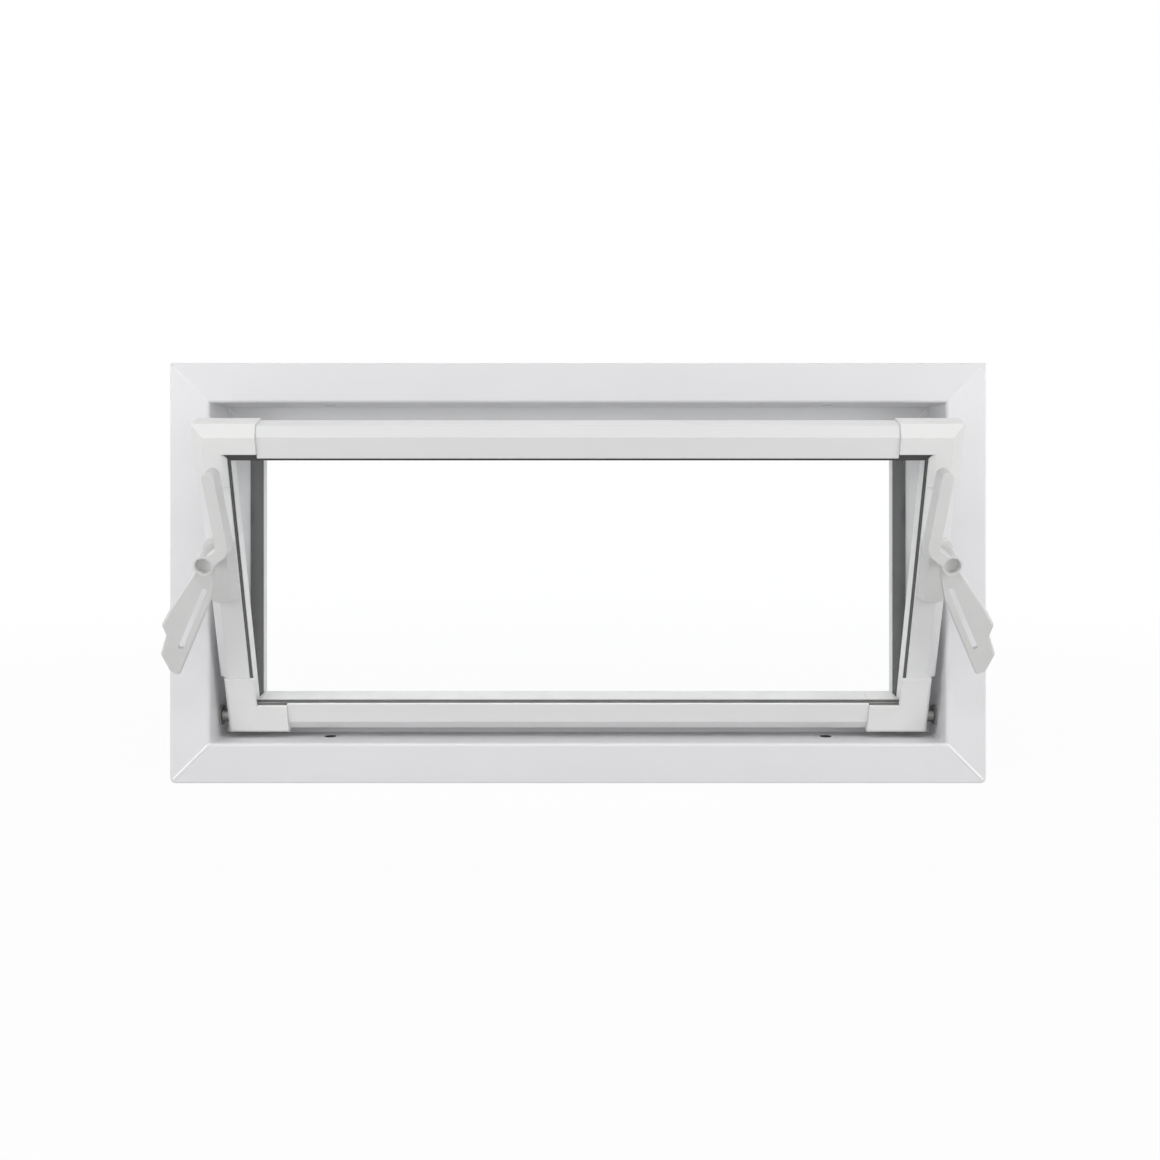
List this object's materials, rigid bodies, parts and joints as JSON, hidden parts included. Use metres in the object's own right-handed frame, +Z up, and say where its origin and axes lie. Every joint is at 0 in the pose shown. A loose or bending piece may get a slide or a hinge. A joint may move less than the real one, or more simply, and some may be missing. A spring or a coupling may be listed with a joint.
{
  "type": "tilt window",
  "caption": "Small white plastic tilt window for a cellar or outbuilding: a welded rebated frame with a glazed sash hinged at its foot, leaning into the room, and a catch lever on each stile.",
  "frame": {"origin": "middle of the frame's flat underside, at half the width and half the depth", "axes": "+X along the window to the right seen from the room, +Y from the room to the outside, +Z up"},
  "size_m": [0.8, 0.1735, 0.412],
  "materials": {
    "frame_pvc": "white extruded PVC",
    "sash_pvc": "white extruded PVC",
    "fitting_plastic": "white moulded plastic",
    "bush_plastic": "moulded bearing plastic",
    "seal_rubber": "dark grey rubber",
    "gasket_rubber": "black rubber",
    "glass": "clear float glass",
    "pin_steel": "plated steel"
  },
  "bodies": {
    "frame": {"frame_bottom": "frame_pvc", "frame_top": "frame_pvc", "frame_left": "frame_pvc", "frame_right": "frame_pvc", "pivot_bush_left": "bush_plastic", "pivot_bush_right": "bush_plastic", "seal_bottom": "seal_rubber", "seal_top": "seal_rubber", "seal_left": "seal_rubber", "seal_right": "seal_rubber"},
    "sash": {"sash_rail_bottom": "sash_pvc", "sash_rail_top": "sash_pvc", "sash_stile_left": "sash_pvc", "sash_stile_right": "sash_pvc", "connector_top_left": "fitting_plastic", "connector_top_right": "fitting_plastic", "connector_bottom_left": "fitting_plastic", "connector_bottom_right": "fitting_plastic", "gasket_bottom": "gasket_rubber", "gasket_top": "gasket_rubber", "gasket_left": "gasket_rubber", "gasket_right": "gasket_rubber", "glass_pane": "glass", "pivot_pin_left": "pin_steel", "pivot_pin_right": "pin_steel", "lever_base_left": "fitting_plastic", "lever_base_right": "fitting_plastic"},
    "left_lever": {"lever_left": "fitting_plastic"},
    "right_lever": {"lever_right": "fitting_plastic"}
  },
  "joints": [
    {"name": "sash_tilt", "type": "hinge", "parent": "frame", "child": "sash", "pos_m": [0, 0.0018, 0.0605], "axis": [-1, 0, 0], "range_deg": [0, 19]},
    {"name": "left_lever_turn", "type": "hinge", "parent": "sash", "child": "left_lever", "pos_m": [-0.343, -0.07182, 0.22975], "axis": [0, -0.9455, -0.3256], "range_deg": [0, 60]},
    {"name": "right_lever_turn", "type": "hinge", "parent": "sash", "child": "right_lever", "pos_m": [0.343, -0.07182, 0.22975], "axis": [0, 0.9455, 0.3256], "range_deg": [0, 60]}
  ]
}
